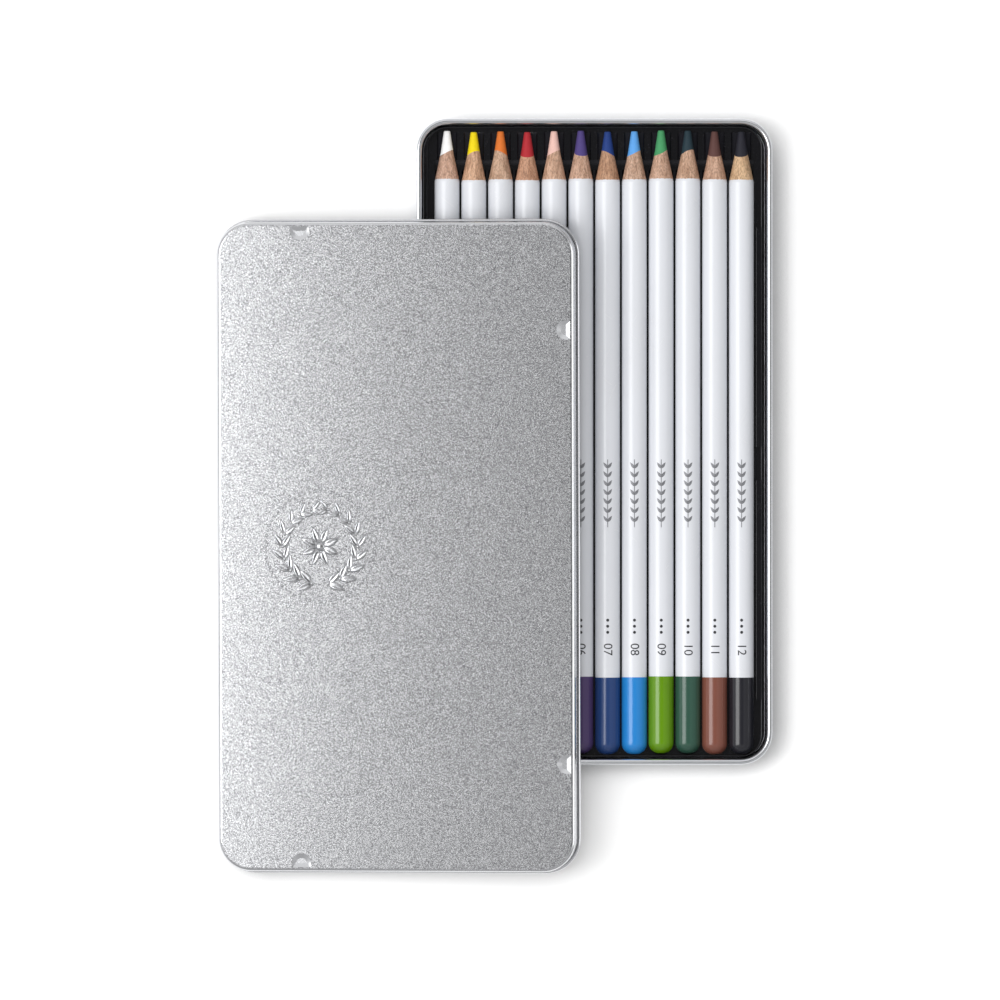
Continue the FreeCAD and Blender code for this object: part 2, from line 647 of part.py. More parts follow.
os.makedirs("parts", exist_ok=True)
for node in nodes:
    node.Shape.exportStep(f"parts/{node.Label}.step")
    print(f"{node.Label}: {len(node.Shape.Solids)} solid, {node.Shape.Volume:.1f} cubic millimetres")
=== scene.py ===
import math

import bpy
from mathutils import Matrix, Vector


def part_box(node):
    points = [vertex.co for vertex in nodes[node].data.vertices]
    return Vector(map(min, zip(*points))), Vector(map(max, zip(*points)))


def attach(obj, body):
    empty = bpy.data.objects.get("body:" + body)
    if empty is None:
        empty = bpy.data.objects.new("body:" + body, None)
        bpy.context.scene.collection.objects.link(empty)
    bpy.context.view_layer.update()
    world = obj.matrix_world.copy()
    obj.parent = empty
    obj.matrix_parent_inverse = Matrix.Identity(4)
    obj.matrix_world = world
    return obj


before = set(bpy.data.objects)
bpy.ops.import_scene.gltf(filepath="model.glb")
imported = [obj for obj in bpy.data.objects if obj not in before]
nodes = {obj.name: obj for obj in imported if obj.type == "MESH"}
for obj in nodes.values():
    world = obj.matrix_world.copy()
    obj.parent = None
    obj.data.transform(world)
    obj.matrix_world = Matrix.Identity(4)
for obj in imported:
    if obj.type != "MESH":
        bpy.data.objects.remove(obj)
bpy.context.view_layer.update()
mm = 0.001

# display colors, 0 to 255, of each pencil's core and dipped end, and of its sharpened wood
pencilColors = {
    "white": {"core": (253, 252, 251), "dip": (243, 243, 241), "wood": (199, 163, 142)},
    "yellow": {"core": (244, 217, 26), "dip": (240, 205, 20), "wood": (201, 162, 133)},
    "orange": {"core": (222, 119, 52), "dip": (219, 112, 44), "wood": (196, 163, 139)},
    "red": {"core": (178, 48, 56), "dip": (172, 44, 50), "wood": (193, 149, 122)},
    "pink": {"core": (237, 194, 182), "dip": (233, 184, 172), "wood": (199, 163, 139)},
    "violet": {"core": (83, 70, 129), "dip": (77, 60, 103), "wood": (200, 165, 143)},
    "dark_blue": {"core": (41, 66, 130), "dip": (38, 64, 114), "wood": (184, 144, 116)},
    "light_blue": {"core": (98, 166, 233), "dip": (38, 130, 203), "wood": (198, 165, 143)},
    "green": {"core": (76, 155, 102), "dip": (96, 142, 6), "wood": (197, 162, 140)},
    "dark_green": {"core": (43, 60, 68), "dip": (48, 83, 69), "wood": (195, 160, 136)},
    "brown": {"core": (96, 67, 63), "dip": (124, 76, 63), "wood": (194, 158, 135)},
    "black": {"core": (43, 43, 51), "dip": (34, 34, 40), "wood": (207, 174, 138)},
}
pureWhite = (1.0, 1.0, 1.0, 1.0)


def displayColor(red, green, blue):
    channels = []
    for level in (red / 255, green / 255, blue / 255):
        channels.append(level / 12.92 if level <= 0.04045 else ((level + 0.055) / 1.055) ** 2.4)
    return (*channels, 1.0)


def shaded(color, share):
    return (*[channel * share for channel in color[:3]], 1.0)


# node tree helpers, shared by shaders and geometry trees
def feed(tree, value, socket):
    if isinstance(value, bpy.types.NodeSocket):
        tree.links.new(value, socket)
    elif value is not None:
        socket.default_value = value


def addNode(tree, kind, settings=None, **inputs):
    node = tree.nodes.new(kind)
    for name, value in (settings or {}).items():
        setattr(node, name, value)
    for name, value in inputs.items():
        feed(tree, value, node.inputs[name.replace("_", " ")])
    return node


def mathStep(tree, operation, first, second=None, third=None):
    node = addNode(tree, "ShaderNodeMath", {"operation": operation})
    for value, socket in zip((first, second, third), node.inputs):
        feed(tree, value, socket)
    return node.outputs[0]


def remap(tree, value, fromLow, fromHigh, toLow=0.0, toHigh=1.0, smooth=False):
    kind = "SMOOTHSTEP" if smooth else "LINEAR"
    node = addNode(tree, "ShaderNodeMapRange", {"interpolation_type": kind, "clamp": True})
    for socket, amount in zip(node.inputs, (value, fromLow, fromHigh, toLow, toHigh)):
        feed(tree, amount, socket)
    return node.outputs[0]


def blendColor(tree, share, first, second, mode="MIX"):
    node = addNode(tree, "ShaderNodeMix", {"data_type": "RGBA", "blend_type": mode})
    feed(tree, share, node.inputs[0])
    feed(tree, first, node.inputs[6])     # sockets 6 and 7 are the two colors
    feed(tree, second, node.inputs[7])
    return node.outputs[2]


def splitVector(tree, vector):
    return addNode(tree, "ShaderNodeSeparateXYZ", Vector=vector).outputs


def joinVector(tree, x, y, z):
    return addNode(tree, "ShaderNodeCombineXYZ", X=x, Y=y, Z=z).outputs[0]


def scaleVector(tree, vector, factors):
    node = addNode(tree, "ShaderNodeVectorMath", {"operation": "MULTIPLY"})
    feed(tree, vector, node.inputs[0])
    feed(tree, factors, node.inputs[1])
    return node.outputs[0]


def noise(tree, vector, scale, detail=2.0, roughness=0.5):
    node = addNode(tree, "ShaderNodeTexNoise", Vector=vector, Scale=scale, Detail=detail, Roughness=roughness)
    return node.outputs[0]


def newShaderGroup(name, inputs, outputs):
    tree = bpy.data.node_groups.new(name, "ShaderNodeTree")
    for label, kind in inputs.items():
        tree.interface.new_socket(label, in_out="INPUT", socket_type="NodeSocket" + kind)
    for label, kind in outputs.items():
        tree.interface.new_socket(label, in_out="OUTPUT", socket_type="NodeSocket" + kind)
    start = tree.nodes.new("NodeGroupInput")
    end = tree.nodes.new("NodeGroupOutput")
    return tree, start.outputs, end.inputs


# sand: a coarse and a fine noise, centred on zero
sand = {"finer": 2.3, "coarseDetail": 2.0, "fineDetail": 1.0}


def buildFineGrain():
    spec = sand
    tree, given, result = newShaderGroup(
        "fineGrain",
        {"Vector": "Vector", "Scale": "Float", "Softness": "Float"},
        {"Grain": "Float"},
    )
    finer = mathStep(tree, "MULTIPLY", given["Scale"], spec["finer"])
    coarse = noise(tree, given["Vector"], given["Scale"], spec["coarseDetail"], given["Softness"])
    fine = noise(tree, given["Vector"], finer, spec["fineDetail"], given["Softness"])
    both = mathStep(tree, "ADD", coarse, fine)
    tree.links.new(mathStep(tree, "SUBTRACT", both, 1.0), result["Grain"])
    return tree


# blasted metal: a random level for each grain in two sizes, centred on zero, and the grains' domes
blast = {"finer": 1.9, "coarseShare": 0.62, "fineShare": 0.38}


def buildBlastedGrain():
    spec = blast
    tree, given, result = newShaderGroup(
        "blastedGrain",
        {"Vector": "Vector", "Scale": "Float"},
        {"Grain": "Float", "Domes": "Float"},
    )
    finer = mathStep(tree, "MULTIPLY", given["Scale"], spec["finer"])
    coarse = addNode(tree, "ShaderNodeTexVoronoi", Vector=given["Vector"], Scale=given["Scale"]).outputs
    fine = addNode(tree, "ShaderNodeTexVoronoi", Vector=given["Vector"], Scale=finer).outputs
    first = mathStep(tree, "MULTIPLY", splitVector(tree, coarse["Color"])["X"], spec["coarseShare"])
    second = mathStep(tree, "MULTIPLY", splitVector(tree, fine["Color"])["X"], spec["fineShare"])
    both = mathStep(tree, "ADD", first, second)
    tree.links.new(mathStep(tree, "SUBTRACT", both, 0.5), result["Grain"])
    tree.links.new(mathStep(tree, "SUBTRACT", 1.0, coarse["Distance"]), result["Domes"])
    return tree


# faint hairlines in two directions and soft rubbed patches, 0 to 1
hairlines = {
    "turns": (0.5, -0.9),         # radians about Z
    "stretches": ((1.0, 0.02, 1.0), (0.9, 0.03, 0.9)),    # a small factor draws the noise out that way
    "lineDetail": 1.0,
    "lineEdge": (0.66, 0.76),     # noise levels between which a line fades in
    "patchScale": 0.03,           # share of the lines' scale
    "patchDetail": 3.0,
    "patchEdge": (0.42, 0.7),
    "patchShare": 0.35,
}


def buildHandlingMarks():
    spec = hairlines
    tree, given, result = newShaderGroup(
        "handlingMarks",
        {"Vector": "Vector", "Scale": "Float"},
        {"Marks": "Float"},
    )
    lines = []
    for turn, stretch in zip(spec["turns"], spec["stretches"]):
        turned = addNode(tree, "ShaderNodeVectorRotate", {"rotation_type": "Z_AXIS"},
                         Vector=given["Vector"], Angle=turn).outputs[0]
        drawn = noise(tree, scaleVector(tree, turned, stretch), given["Scale"], spec["lineDetail"])
        lines.append(remap(tree, drawn, *spec["lineEdge"]))
    patchScale = mathStep(tree, "MULTIPLY", given["Scale"], spec["patchScale"])
    cloud = noise(tree, given["Vector"], patchScale, spec["patchDetail"])
    patches = remap(tree, cloud, *spec["patchEdge"], smooth=True)
    hair = mathStep(tree, "MULTIPLY", mathStep(tree, "MAXIMUM", *lines), patches)
    tree.links.new(mathStep(tree, "MULTIPLY_ADD", patches, spec["patchShare"], hair), result["Marks"])
    return tree


# long fibers with short pores, both drawn out along Y
woodGrain = {
    "fiberStretch": (1.0, 0.05, 1.0),
    "fiberDetail": 4.0,
    "fiberRoughness": 0.6,
    "fiberEdge": (0.36, 0.64),    # noise levels from the darkest to the palest
    "poreStretch": (1.0, 0.3, 1.0),
    "poreDetail": 1.0,
    "poreEdge": (0.36, 0.56),
}


def buildWoodFiber():
    spec = woodGrain
    tree, given, result = newShaderGroup(
        "woodFiber",
        {"Vector": "Vector", "Fiber Scale": "Float", "Pore Scale": "Float"},
        {"Fiber": "Float", "Pores": "Float"},
    )
    long = scaleVector(tree, given["Vector"], spec["fiberStretch"])
    short = scaleVector(tree, given["Vector"], spec["poreStretch"])
    fiber = noise(tree, long, given["Fiber Scale"], spec["fiberDetail"], spec["fiberRoughness"])
    pores = noise(tree, short, given["Pore Scale"], spec["poreDetail"])
    tree.links.new(remap(tree, fiber, *spec["fiberEdge"]), result["Fiber"])
    tree.links.new(remap(tree, pores, *spec["poreEdge"]), result["Pores"])
    return tree


fineGrain = buildFineGrain()
blastedGrain = buildBlastedGrain()
handlingMarks = buildHandlingMarks()
woodFiber = buildWoodFiber()


def useGroup(tree, group, **inputs):
    return addNode(tree, "ShaderNodeGroup", {"node_tree": group}, **inputs).outputs


def sanded(tree, place, scale, softness=0.5):
    return useGroup(tree, fineGrain, Vector=place, Scale=scale, Softness=softness)["Grain"]


def handled(tree, place, scale):
    return useGroup(tree, handlingMarks, Vector=place, Scale=scale)["Marks"]


def newMaterial(name, **plain):
    material = bpy.data.materials.new(name)
    material.use_nodes = True
    tree = material.node_tree
    shader = tree.nodes["Principled BSDF"]
    for label, value in plain.items():
        shader.inputs[label.replace("_", " ")].default_value = value
    place = tree.nodes.new("ShaderNodeTexCoord").outputs["Object"]
    return material, tree, shader.inputs, place


def roughen(tree, shader, height, distance, strength=1.0):
    bump = addNode(tree, "ShaderNodeBump", Strength=strength, Distance=distance, Height=height)
    tree.links.new(bump.outputs[0], shader["Normal"])


def paint(name, material):
    slots = nodes[name].data.materials
    slots.clear()
    slots.append(material)


# the lid's own frame: its flat panel, the largest facet, gives the lean
def lidFrame():
    mesh = nodes["tin_lid"].data
    up = max(mesh.polygons, key=lambda face: face.area).normal.copy()
    if up.z < 0:
        up.negate()
    across = Vector((0, 1, 0)).cross(up).normalized()
    along = up.cross(across)
    turn = Matrix((across, along, up)).transposed()
    local = [turn.transposed() @ vertex.co for vertex in mesh.vertices]
    low = Vector([min(point[axis] for point in local) for axis in range(3)])
    high = Vector([max(point[axis] for point in local) for axis in range(3)])
    centre = turn @ Vector(((low.x + high.x) / 2, (low.y + high.y) / 2, high.z))
    return centre, turn


lidCentre, lidTurn = lidFrame()
print("lid leans", round(math.degrees(math.acos(lidTurn.col[2].z)), 2), "degrees")

lidTin = {
    "grainScale": 6600.0,         # grains of about 0.15 mm
    "darkGrain": (112, 112, 115),
    "plainTin": (183, 184, 187),
    "brightGrain": (238, 239, 241),
    "grainContrast": 1.6,
    "pressedContrast": 0.64,      # pressing closes the grain
    "grainDepth": 0.0008 * mm,
    "bareTin": (212, 213, 216),   # below the panel's face the metal is bare
    "grainFull": 0.01 * mm,       # the grain fades out between these depths under the face
    "grainEnd": 0.10 * mm,
    "panelRoughness": 0.205,
    "bareRoughness": 0.2,
    "roughnessSpread": 0.06,
}


def makeLidTin(name, contrast):
    spec = lidTin
    material, tree, shader, place = newMaterial(name, Metallic=1.0)
    local = addNode(tree, "ShaderNodeMapping", {"vector_type": "TEXTURE"}, Vector=place,
                    Location=lidCentre, Rotation=lidTurn.to_euler()).outputs[0]
    height = splitVector(tree, local)["Z"]
    panel = remap(tree, height, -spec["grainEnd"], -spec["grainFull"], smooth=True)
    blasted = useGroup(tree, blastedGrain, Vector=local, Scale=spec["grainScale"])
    shade = remap(tree, mathStep(tree, "MULTIPLY_ADD", blasted["Grain"], contrast, 0.5), 0.0, 1.0)
    tones = ("darkGrain", "plainTin", "brightGrain", "bareTin")
    dark, plain, bright, bare = (displayColor(*spec[tone]) for tone in tones)
    dull = blendColor(tree, remap(tree, shade, 0.0, 0.5), dark, plain)
    grainy = blendColor(tree, remap(tree, shade, 0.5, 1.0), dull, bright)
    tree.links.new(blendColor(tree, panel, bare, grainy), shader["Base Color"])
    satin = remap(tree, panel, 0.0, 1.0, spec["bareRoughness"], spec["panelRoughness"])
    varied = mathStep(tree, "MULTIPLY", blasted["Grain"], panel)
    rough = mathStep(tree, "MULTIPLY_ADD", varied, spec["roughnessSpread"], satin)
    tree.links.new(rough, shader["Roughness"])
    roughen(tree, shader, mathStep(tree, "MULTIPLY", blasted["Domes"], panel), spec["grainDepth"])
    return material


baseTin = {
    "tin": (217, 219, 223),
    "rubbedTin": (228, 229, 232),
    "wallRoughness": 0.3,
    "rimRoughness": 0.17,
    "rimTop": 1.2 * mm,           # the rim's polish fades out between these depths under its top
    "rimFoot": 2.2 * mm,
    "drawScale": 900.0,           # fine unevenness of the drawn sheet
    "drawDepth": 0.004 * mm,
    "markScale": 1300.0,
    "markRoughness": 0.08,
}


def makeBaseTin():
    spec = baseTin
    material, tree, shader, place = newMaterial("baseTin", Metallic=1.0)
    _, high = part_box("tin_base")
    height = splitVector(tree, place)["Z"]
    rim = remap(tree, height, high.z - spec["rimFoot"], high.z - spec["rimTop"], smooth=True)
    grain = sanded(tree, place, spec["drawScale"])
    marks = handled(tree, place, spec["markScale"])
    metal = blendColor(tree, marks, displayColor(*spec["tin"]), displayColor(*spec["rubbedTin"]))
    tree.links.new(metal, shader["Base Color"])
    plain = remap(tree, rim, 0.0, 1.0, spec["wallRoughness"], spec["rimRoughness"])
    rough = mathStep(tree, "MULTIPLY_ADD", marks, spec["markRoughness"], plain)
    tree.links.new(rough, shader["Roughness"])
    roughen(tree, shader, grain, spec["drawDepth"])
    return material


blackTray = {
    "plastic": (12, 12, 16),
    # the paler tone serves real scuffs and specks, and a painted glint in the troughs under the points
    "scuffAndGlint": (44, 44, 49),
    "ior": 1.55,
    "gloss": 0.14,
    "markScale": 1100.0,
    "markRoughness": 0.08,
    "markShade": 0.1,
    "ridgeHeight": 2.95 * mm,     # the level between the pencils
    "glintStart": 0.05 * mm,       # painted glint: the troughs are painted paler between these depths under the ridges
    "glintFull": 0.5 * mm,
    "pointZone": 11.0 * mm,       # the painted glint stays in the troughs under the points, this far from the end
    "zoneFade": 1.0 * mm,
    "speckScale": 2600.0,
    "speckDetail": 0.0,
    "speckEdge": (0.76, 0.82),    # noise levels between which a speck fades in
    "speckShade": 0.8,
    "peelScale": 420.0,
    "peelSoftness": 0.4,
    "peelDepth": 0.012 * mm,
}


def makeBlackTray():
    spec = blackTray
    material, tree, shader, place = newMaterial("blackTray", IOR=spec["ior"])
    _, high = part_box("insert_tray")
    _, along, height = splitVector(tree, place)
    depth = mathStep(tree, "SUBTRACT", spec["ridgeHeight"], height)
    # painted glint: the troughs under the points are painted paler, standing in for the key's reflection
    # there
    low = remap(tree, depth, spec["glintStart"], spec["glintFull"])
    zoneStart = high.y - spec["pointZone"]
    glintZone = remap(tree, along, zoneStart, zoneStart + spec["zoneFade"])
    marks = handled(tree, place, spec["markScale"])
    peel = sanded(tree, place, spec["peelScale"], spec["peelSoftness"])
    spots = noise(tree, place, spec["speckScale"], spec["speckDetail"])
    specks = mathStep(tree, "MULTIPLY", remap(tree, spots, *spec["speckEdge"]), spec["speckShade"])
    scuffed = mathStep(tree, "MAXIMUM", mathStep(tree, "MULTIPLY", marks, spec["markShade"]), specks)
    # real scuffs and specks, plus the painted glint in the troughs under the points
    scuffsAndGlint = mathStep(tree, "MAXIMUM", scuffed, mathStep(tree, "MULTIPLY", low, glintZone))
    sheet = blendColor(tree, scuffsAndGlint, displayColor(*spec["plastic"]), displayColor(*spec["scuffAndGlint"]))
    tree.links.new(sheet, shader["Base Color"])
    rough = mathStep(tree, "MULTIPLY_ADD", marks, spec["markRoughness"], spec["gloss"])
    tree.links.new(rough, shader["Roughness"])
    roughen(tree, shader, peel, spec["peelDepth"])
    return material


cedar = {
    "fiberScale": 1700.0,
    "poreScale": 4000.0,
    "paler": 1.24,
    "darkFiber": 0.62,            # share of the wood's own color left in the dark lines
    "fiberHue": (1.0, 0.9, 0.82),     # the dark lines are redder
    "poreShade": 0.62,
    "cutDepth": 0.03 * mm,
    "cutStrength": 0.6,
    "roughness": 0.62,
}


def woodColor(tree, place, tone):
    spec = cedar
    grain = useGroup(tree, woodFiber, Vector=place, Fiber_Scale=spec["fiberScale"],
                     Pore_Scale=spec["poreScale"])
    pale = shaded(displayColor(*tone), spec["paler"])
    dark = [channel * spec["darkFiber"] * share for channel, share in zip(pale, spec["fiberHue"])]
    streaked = blendColor(tree, grain["Fiber"], (*dark, 1.0), pale)
    speckled = blendColor(tree, grain["Pores"], shaded(pureWhite, spec["poreShade"]), pureWhite)
    return blendColor(tree, 1.0, streaked, speckled, "MULTIPLY"), grain


def makeWood(color):
    spec = cedar
    material, tree, shader, place = newMaterial(color + "Wood", Roughness=spec["roughness"])
    tone, grain = woodColor(tree, place, pencilColors[color]["wood"])
    tree.links.new(tone, shader["Base Color"])
    roughen(tree, shader, grain["Pores"], spec["cutDepth"], spec["cutStrength"])
    return material


pigment = {
    "grainScale": 2600.0,
    "grainStretch": (1.0, 0.3, 1.0),      # the grain is longer along the core
    "grainDepth": 0.02 * mm,
    "grainEdge": (-0.3, 0.1),     # grain levels from the darkest to the full color
    "spread": 0.09,               # how much darker the darkest is
    "roughness": 0.5,
    "roughnessSpread": 0.3,
    "specular": 0.18,
}


def makeCore(color):
    spec = pigment
    material, tree, shader, place = newMaterial(color + "Core", Specular_IOR_Level=spec["specular"])
    own = displayColor(*pencilColors[color]["core"])
    dark = shaded(own, 1.0 - spec["spread"])
    grain = sanded(tree, scaleVector(tree, place, spec["grainStretch"]), spec["grainScale"])
    share = remap(tree, grain, *spec["grainEdge"])
    tree.links.new(blendColor(tree, share, dark, own), shader["Base Color"])
    rough = mathStep(tree, "MULTIPLY_ADD", grain, spec["roughnessSpread"], spec["roughness"])
    tree.links.new(rough, shader["Roughness"])
    roughen(tree, shader, grain, spec["grainDepth"])
    return material


lacquerWhite = {
    "white": (219, 221, 226),
    "warmer": (212, 213, 216),
    "ior": 1.5,
    "gloss": 0.24,
    "markScale": 1200.0,
    "markRoughness": 0.06,
    "markShade": 0.5,
    "peelScale": 260.0,
    "peelStretch": (1.0, 0.3, 1.0),
    "peelSoftness": 0.4,
    "peelDepth": 0.006 * mm,
    "raggedDepth": 0.5 * mm,      # how far the sharpener's cut wanders into the coat
    "raggedScale": 1400.0,
    "raggedStretch": (1.0, 0.05, 1.0),
    "cutEdge": (0.18 * mm, 0.22 * mm),    # past the coat's end, before the wandering is added
    "cutRoughness": 0.4,
}


def makeLacquer(color):
    spec = lacquerWhite
    material, tree, shader, place = newMaterial(color + "Lacquer", IOR=spec["ior"])
    _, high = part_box(color + "_pencil_lacquer")
    drawn = scaleVector(tree, place, spec["peelStretch"])
    peel = sanded(tree, drawn, spec["peelScale"], spec["peelSoftness"])
    marks = handled(tree, place, spec["markScale"])
    rubbed = mathStep(tree, "MULTIPLY", marks, spec["markShade"])
    coat = blendColor(tree, rubbed, displayColor(*spec["white"]), displayColor(*spec["warmer"]))
    wander = noise(tree, scaleVector(tree, place, spec["raggedStretch"]), spec["raggedScale"])
    reach = mathStep(tree, "MULTIPLY_ADD", wander, spec["raggedDepth"], splitVector(tree, place)["Y"])
    cutStart, cutEnd = spec["cutEdge"]
    cut = remap(tree, reach, high.y + cutStart, high.y + cutEnd)
    bare, _ = woodColor(tree, place, pencilColors[color]["wood"])
    tree.links.new(blendColor(tree, cut, coat, bare), shader["Base Color"])
    glossy = mathStep(tree, "MULTIPLY_ADD", marks, spec["markRoughness"], spec["gloss"])
    rough = mathStep(tree, "MULTIPLY_ADD", cut, spec["cutRoughness"], glossy)
    tree.links.new(rough, shader["Roughness"])
    roughen(tree, shader, peel, spec["peelDepth"])
    return material


dipPaint = {
    "ior": 1.48,
    "gloss": 0.14,
    "markScale": 1200.0,
    "markRoughness": 0.08,
    "peelScale": 240.0,
    "peelSoftness": 0.4,
    "peelDepth": 0.006 * mm,
    "peelShade": 0.5,
    "endShade": 0.86,             # the color is deeper at the round end
    "endReach": 0.9 * mm,
    "fullReach": 3.6 * mm,
}


def makeDip(color):
    spec = dipPaint
    material, tree, shader, place = newMaterial(color + "Dip", IOR=spec["ior"])
    low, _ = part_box(color + "_pencil_dip")
    own = displayColor(*pencilColors[color]["dip"])
    deep = shaded(own, spec["endShade"])
    marks = handled(tree, place, spec["markScale"])
    peel = sanded(tree, place, spec["peelScale"], spec["peelSoftness"])
    along = splitVector(tree, place)["Y"]
    full = remap(tree, along, low.y + spec["endReach"], low.y + spec["fullReach"], smooth=True)
    varied = mathStep(tree, "MULTIPLY_ADD", peel, spec["peelShade"], full)
    tree.links.new(blendColor(tree, remap(tree, varied, 0.0, 1.0), deep, own), shader["Base Color"])
    rough = mathStep(tree, "MULTIPLY_ADD", marks, spec["markRoughness"], spec["gloss"])
    tree.links.new(rough, shader["Roughness"])
    roughen(tree, shader, peel, spec["peelDepth"])
    return material


# ink and foil, each worn in specks; the edge gives the grain levels from whole to worn
printWear = {"scale": 3000.0, "edge": (-0.1, 0.35), "roughnessSpread": 0.3}
prints = {
    "printInk": {"tone": (34, 34, 37), "worn": (62, 62, 66), "metallic": 0.0, "roughness": 0.42},
    "silverFoil": {"tone": (118, 119, 123), "worn": (158, 159, 163), "metallic": 0.4, "roughness": 0.45},
}


def makePrint(name):
    spec = prints[name]
    material, tree, shader, place = newMaterial(name, Metallic=spec["metallic"])
    grain = sanded(tree, place, printWear["scale"])
    share = remap(tree, grain, *printWear["edge"])
    film = blendColor(tree, share, displayColor(*spec["tone"]), displayColor(*spec["worn"]))
    tree.links.new(film, shader["Base Color"])
    rough = mathStep(tree, "MULTIPLY_ADD", grain, printWear["roughnessSpread"], spec["roughness"])
    tree.links.new(rough, shader["Roughness"])
    return material


paint("tin_lid", makeLidTin("lidTin", lidTin["grainContrast"]))
pressedTin = makeLidTin("pressedTin", lidTin["pressedContrast"])
paint("tin_base", makeBaseTin())
paint("insert_tray", makeBlackTray())
for color in pencilColors:
    paint(color + "_pencil_casing", makeWood(color))
    paint(color + "_pencil_core", makeCore(color))
    paint(color + "_pencil_lacquer", makeLacquer(color))
    paint(color + "_pencil_dip", makeDip(color))
printInk = makePrint("printInk")
silverFoil = makePrint("silverFoil")
print("materials painted:", len(bpy.data.materials))


# inputs is a dictionary of socket kinds and the labels of each kind
def newGeometryTree(name, inputs):
    tree = bpy.data.node_groups.new(name, "GeometryNodeTree")
    tree.interface.new_socket("Geometry", in_out="OUTPUT", socket_type="NodeSocketGeometry")
    sockets = {}
    for kind, labels in inputs.items():
        for label in labels:
            socket = tree.interface.new_socket(label, in_out="INPUT", socket_type="NodeSocket" + kind)
            sockets[label] = socket.identifier
    start = tree.nodes.new("NodeGroupInput")
    end = tree.nodes.new("NodeGroupOutput")
    return tree, start.outputs, end.inputs[0], sockets


def geometryStep(tree, kind, settings=None, **inputs):
    return addNode(tree, "GeometryNode" + kind, settings, **inputs).outputs[0]


def joinGeometry(tree, parts):
    node = addNode(tree, "GeometryNodeJoinGeometry")
    for part in parts:
        tree.links.new(part, node.inputs[0])
    return node.outputs[0]


def setPosition(tree, geometry, position):
    return geometryStep(tree, "SetPosition", Geometry=geometry, Position=position)


# a settings dictionary's values by the labels of a tree's inputs: leafWidth goes to Leaf Width
def byLabel(spec, sockets):
    values = {}
    for key, value in spec.items():
        label = "".join(" " + letter if letter.isupper() else letter for letter in key).title()
        if label in sockets:
            values[label] = value
    return values


def growPiece(name, tree, sockets, values):
    holder = bpy.data.objects.new(name + "Holder", bpy.data.meshes.new(name + "Seed"))
    bpy.context.scene.collection.objects.link(holder)
    grower = holder.modifiers.new("grow", "NODES")
    grower.node_group = tree
    for label, value in values.items():
        grower[sockets[label]] = value
    graph = bpy.context.evaluated_depsgraph_get()
    grown = holder.evaluated_get(graph)
    mesh = bpy.data.meshes.new_from_object(grown, preserve_all_data_layers=True, depsgraph=graph)
    holder.modifiers.remove(grower)
    bpy.data.objects.remove(holder)
    piece = bpy.data.objects.new(name, mesh)
    bpy.context.scene.collection.objects.link(piece)
    return piece


# a leaf along X from its foot, flat on top with falling edges, a crease along its midrib, closed below
leafShape = {
    "tip": 0.3,                   # how far the ends are drawn out, in half lengths of the round form
    "slimming": 0.38,             # share by which the width falls to the tip and grows to the foot
    "crease": 0.55,               # share of the height left on the midrib
    "creaseReach": 0.22,
    "shoulder": 0.72,             # height of the round form where the flat top starts
    "segments": 20,
    "rings": 10,
}


def leafForm(tree, length, width, relief, sink):
    spec = leafShape
    ball = geometryStep(tree, "MeshUVSphere", Segments=spec["segments"], Rings=spec["rings"], Radius=1.0)
    laid = geometryStep(tree, "Transform", Geometry=ball, Rotation=(0.0, math.pi / 2, 0.0))
    x, y, z = splitVector(tree, geometryStep(tree, "InputPosition"))
    tip = mathStep(tree, "MULTIPLY_ADD", mathStep(tree, "POWER", x, 3.0), spec["tip"], x)
    slim = mathStep(tree, "MULTIPLY_ADD", x, -spec["slimming"], 1.0)
    offRib = mathStep(tree, "ABSOLUTE", y)
    crease = remap(tree, offRib, 0.0, spec["creaseReach"], spec["crease"], 1.0, smooth=True)
    rise = remap(tree, z, 0.0, spec["shoulder"], smooth=True)
    dome = mathStep(tree, "MULTIPLY", mathStep(tree, "MULTIPLY", rise, crease), relief)
    root = mathStep(tree, "MULTIPLY", mathStep(tree, "MINIMUM", z, 0.0), sink)
    half = 1.0 + spec["tip"]
    unit = mathStep(tree, "DIVIDE", length, 2 * half)
    halfWidth = mathStep(tree, "DIVIDE", width, 2.0)
    outX = mathStep(tree, "MULTIPLY", mathStep(tree, "ADD", tip, half), unit)
    outY = mathStep(tree, "MULTIPLY", mathStep(tree, "MULTIPLY", y, slim), halfWidth)
    return setPosition(tree, laid, joinVector(tree, outX, outY, mathStep(tree, "ADD", dome, root)))


def flatBall(tree, radius, flatness, segments=10, rings=6):
    ball = geometryStep(tree, "MeshUVSphere", Segments=segments, Rings=rings, Radius=radius)
    return geometryStep(tree, "Transform", Geometry=ball, Scale=(1.0, 1.0, flatness))


def arcPoints(tree, count, radius, startAngle, sweep):
    last = mathStep(tree, "MAXIMUM", mathStep(tree, "SUBTRACT", count, 1.0), 1.0)
    share = mathStep(tree, "DIVIDE", geometryStep(tree, "InputIndex"), last)
    angle = mathStep(tree, "MULTIPLY_ADD", share, sweep, startAngle)
    x = mathStep(tree, "MULTIPLY", mathStep(tree, "COSINE", angle), radius)
    y = mathStep(tree, "MULTIPLY", mathStep(tree, "SINE", angle), radius)
    points = geometryStep(tree, "Points", Count=count, Position=joinVector(tree, x, y, 0.0))
    return points, angle, share


# from the first to the last of a ring of evenly spaced things
def ringSweep(tree, count):
    step = mathStep(tree, "DIVIDE", 2 * math.pi, count)
    return mathStep(tree, "MULTIPLY", step, mathStep(tree, "SUBTRACT", count, 1.0))


def placeOn(tree, points, form, turn, scale=None):
    node = addNode(tree, "GeometryNodeInstanceOnPoints", Points=points, Instance=form)
    feed(tree, joinVector(tree, 0.0, 0.0, turn), node.inputs["Rotation"])
    if scale is not None:
        feed(tree, joinVector(tree, scale, scale, scale), node.inputs["Scale"])
    return node.outputs[0]


